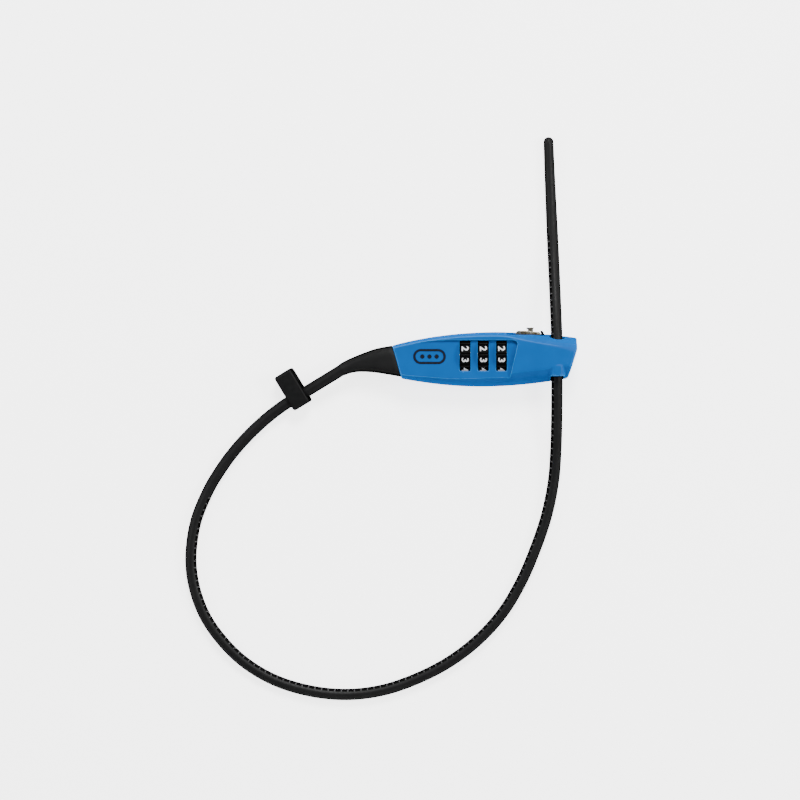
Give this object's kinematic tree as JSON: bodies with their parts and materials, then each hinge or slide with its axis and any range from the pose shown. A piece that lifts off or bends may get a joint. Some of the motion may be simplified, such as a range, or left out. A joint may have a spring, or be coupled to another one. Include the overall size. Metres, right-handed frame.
{
  "type": "luggage combination lock",
  "caption": "Combination lock with a looping toothed strap: the strap ratchets tight through the head, and the number dials and a slide button release it.",
  "frame": {"origin": "on the back cover's flat outer face, under the middle number dial", "axes": "+X along the body from the boot to the head, +Y towards the side with the release button, +Z out of the dial face; the lock lies on its back"},
  "size_m": [0.1492, 0.2151, 0.0168],
  "materials": {
    "housing": "satin",
    "cover": "satin",
    "dial": "satin",
    "button": "satin",
    "steel": "satin",
    "brass": "satin",
    "boot": "matte",
    "strap": "satin",
    "clip": "matte"
  },
  "bodies": {
    "housing": {"front_housing": "housing", "back_cover": "cover", "cover_rivet_1": "steel", "cover_rivet_2": "steel", "cover_rivet_3": "steel", "cover_rivet_4": "steel", "dial_click_spring": "steel", "spindle_spring": "steel", "reset_spring": "steel", "anchor_ferrule": "steel", "core_cable": "steel", "strap_boot": "boot", "strap": "strap"},
    "dial_1": {"number_dial_1": "dial"},
    "dial_2": {"number_dial_2": "dial"},
    "dial_3": {"number_dial_3": "dial"},
    "ring_1": {"code_ring_1": "brass"},
    "ring_2": {"code_ring_2": "brass"},
    "ring_3": {"code_ring_3": "brass"},
    "reset": {"reset_comb": "steel"},
    "release": {"release_button": "button", "release_carriage": "steel", "locking_spindle": "steel", "spindle_pin": "steel", "pawl_spring": "steel"},
    "pawl": {"pawl": "steel"},
    "clip": {"keeper_clip": "clip"}
  },
  "joints": [
    {"name": "dial_1_spin", "type": "hinge", "parent": "housing", "child": "dial_1", "pos_m": [-0.0069, 0, 0.0097], "axis": [1, 0, 0], "continuous": true},
    {"name": "dial_2_spin", "type": "hinge", "parent": "housing", "child": "dial_2", "pos_m": [0, 0, 0.0097], "axis": [1, 0, 0], "continuous": true},
    {"name": "dial_3_spin", "type": "hinge", "parent": "housing", "child": "dial_3", "pos_m": [0.0069, 0, 0.0097], "axis": [1, 0, 0], "continuous": true},
    {"name": "release_slide", "type": "slide", "parent": "housing", "child": "release", "axis": [-1, 0, 0], "range_m": [0, 0.0033], "stiffness_N_per_m": 300, "springref_m": -0.002, "deforming": ["spindle_spring"]},
    {"name": "pawl_slide", "type": "slide", "parent": "release", "child": "pawl", "axis": [-1, 0, 0], "range_m": [0, 0.0012], "stiffness_N_per_m": 200, "springref_m": -0.001, "deforming": ["pawl_spring"]},
    {"name": "reset_slide", "type": "slide", "parent": "housing", "child": "reset", "axis": [1, 0, 0], "range_m": [0, 0.0013], "stiffness_N_per_m": 300, "springref_m": -0.001, "deforming": ["reset_spring"]},
    {"name": "ring_1_shift", "type": "slide", "parent": "dial_1", "child": "ring_1", "axis": [1, 0, 0], "range_m": [0, 0.0013]},
    {"name": "ring_2_shift", "type": "slide", "parent": "dial_2", "child": "ring_2", "axis": [1, 0, 0], "range_m": [0, 0.0013]},
    {"name": "ring_3_shift", "type": "slide", "parent": "dial_3", "child": "ring_3", "axis": [1, 0, 0], "range_m": [0, 0.0013]},
    {"name": "clip_slide", "type": "slide", "parent": "housing", "child": "clip", "axis": [0.8444, 0.5125, 0.1562], "range_m": [0, 0.013]}
  ],
  "couplings": [
    {"joint": "ring_1_shift", "follows": "reset_slide", "ratio": 1},
    {"joint": "ring_2_shift", "follows": "reset_slide", "ratio": 1},
    {"joint": "ring_3_shift", "follows": "reset_slide", "ratio": 1}
  ]
}
